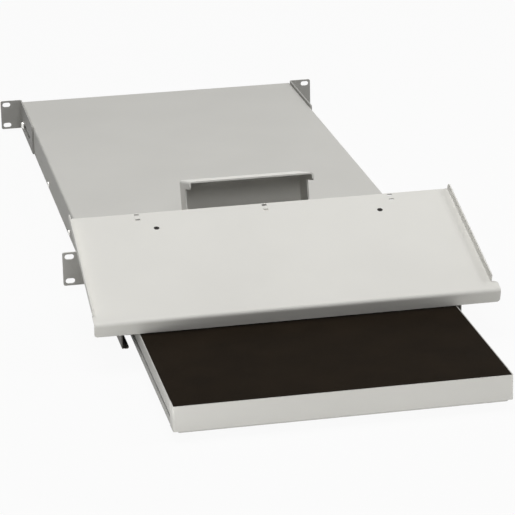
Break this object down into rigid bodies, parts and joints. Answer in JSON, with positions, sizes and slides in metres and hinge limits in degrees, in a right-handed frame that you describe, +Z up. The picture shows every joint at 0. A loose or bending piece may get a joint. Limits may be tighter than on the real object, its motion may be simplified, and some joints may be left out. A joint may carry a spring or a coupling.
{
  "type": "rack keyboard drawer",
  "caption": "Rack-mounted keyboard drawer: flat housing with mounting ears, pull-out mat platform on ball slides, and a sloping keyboard shelf that folds up on a bent sheet post.",
  "frame": {"origin": "centre of the front rack slots, in the plane where the front ears bear on the rack", "axes": "+X to the right seen from the front, +Y to the back of the rack, +Z up"},
  "size_m": [0.4826, 1.264, 0.1316],
  "materials": {
    "housing_powder_coat": "fine-textured light grey powder coat",
    "shelf_powder_coat": "fine-textured light grey powder coat",
    "drawer_powder_coat": "fine-textured light grey powder coat",
    "mat_rubber": "matt, finely grained",
    "washer_plastic": "matt",
    "dark_zinc": "black zinc plate",
    "zinc_sheet": "bright zinc plate",
    "zinc_fasteners": "bright zinc plate"
  },
  "bodies": {
    "housing": {"top_cover": "housing_powder_coat", "rear_panel": "housing_powder_coat", "rear_panel_screws": "zinc_fasteners", "front_tie_bar": "housing_powder_coat", "tie_bar_screws": "zinc_fasteners", "front_ear_left": "housing_powder_coat", "front_ear_right": "housing_powder_coat", "ear_screws": "zinc_fasteners", "clamp_screws": "zinc_fasteners", "clamp_washers": "zinc_fasteners", "clamp_nuts": "zinc_fasteners", "outer_rail_left": "zinc_sheet", "outer_rail_right": "zinc_sheet", "outer_rail_screws": "zinc_fasteners", "support_post": "housing_powder_coat", "post_screws": "zinc_fasteners", "hinge_pins": "zinc_fasteners", "hinge_washers": "washer_plastic"},
    "rear_bracket_left": {"rear_bracket_left": "housing_powder_coat"},
    "rear_bracket_right": {"rear_bracket_right": "housing_powder_coat"},
    "middle_rail_left": {"middle_rail_left": "dark_zinc"},
    "outer_cage_left": {"outer_cage_left": "zinc_sheet", "outer_balls_left": "zinc_fasteners"},
    "inner_cage_left": {"inner_cage_left": "zinc_sheet", "inner_balls_left": "zinc_fasteners"},
    "middle_rail_right": {"middle_rail_right": "dark_zinc"},
    "outer_cage_right": {"outer_cage_right": "zinc_sheet", "outer_balls_right": "zinc_fasteners"},
    "inner_cage_right": {"inner_cage_right": "zinc_sheet", "inner_balls_right": "zinc_fasteners"},
    "drawer": {"drawer_base": "drawer_powder_coat", "drawer_platform": "drawer_powder_coat", "drawer_front": "drawer_powder_coat", "drawer_front_nuts": "zinc_fasteners", "mat": "mat_rubber", "inner_rail_left": "zinc_sheet", "inner_rail_right": "zinc_sheet", "rail_spacer_left": "zinc_sheet", "rail_spacer_right": "zinc_sheet", "inner_rail_screws": "zinc_fasteners"},
    "shelf": {"keyboard_shelf": "shelf_powder_coat", "shelf_hinge_bracket": "shelf_powder_coat", "shelf_screws": "dark_zinc", "shelf_nuts": "zinc_fasteners"}
  },
  "joints": [
    {"name": "drawer_slide", "type": "slide", "parent": "housing", "child": "drawer", "axis": [0, 1, 0], "range_m": [0, 0.518]},
    {"name": "middle_rail_left_slide", "type": "slide", "parent": "housing", "child": "middle_rail_left", "axis": [0, 1, 0], "range_m": [0, 0.259]},
    {"name": "outer_cage_left_slide", "type": "slide", "parent": "housing", "child": "outer_cage_left", "axis": [0, 1, 0], "range_m": [0, 0.1295]},
    {"name": "inner_cage_left_slide", "type": "slide", "parent": "housing", "child": "inner_cage_left", "axis": [0, 1, 0], "range_m": [0, 0.3885]},
    {"name": "middle_rail_right_slide", "type": "slide", "parent": "housing", "child": "middle_rail_right", "axis": [0, 1, 0], "range_m": [0, 0.259]},
    {"name": "outer_cage_right_slide", "type": "slide", "parent": "housing", "child": "outer_cage_right", "axis": [0, 1, 0], "range_m": [0, 0.1295]},
    {"name": "inner_cage_right_slide", "type": "slide", "parent": "housing", "child": "inner_cage_right", "axis": [0, 1, 0], "range_m": [0, 0.3885]},
    {"name": "shelf_fold", "type": "hinge", "parent": "housing", "child": "shelf", "pos_m": [0, -0.0832, 0.0833], "axis": [-1, 0, 0], "range_deg": [0, 107]},
    {"name": "rear_bracket_left_slide", "type": "slide", "parent": "housing", "child": "rear_bracket_left", "axis": [0, 1, 0], "range_m": [0, 0.0728]},
    {"name": "rear_bracket_right_slide", "type": "slide", "parent": "housing", "child": "rear_bracket_right", "axis": [0, 1, 0], "range_m": [0, 0.0728]}
  ],
  "couplings": [
    {"joint": "middle_rail_left_slide", "follows": "drawer_slide", "ratio": 0.5},
    {"joint": "outer_cage_left_slide", "follows": "drawer_slide", "ratio": 0.25},
    {"joint": "inner_cage_left_slide", "follows": "drawer_slide", "ratio": 0.75},
    {"joint": "middle_rail_right_slide", "follows": "drawer_slide", "ratio": 0.5},
    {"joint": "outer_cage_right_slide", "follows": "drawer_slide", "ratio": 0.25},
    {"joint": "inner_cage_right_slide", "follows": "drawer_slide", "ratio": 0.75}
  ]
}
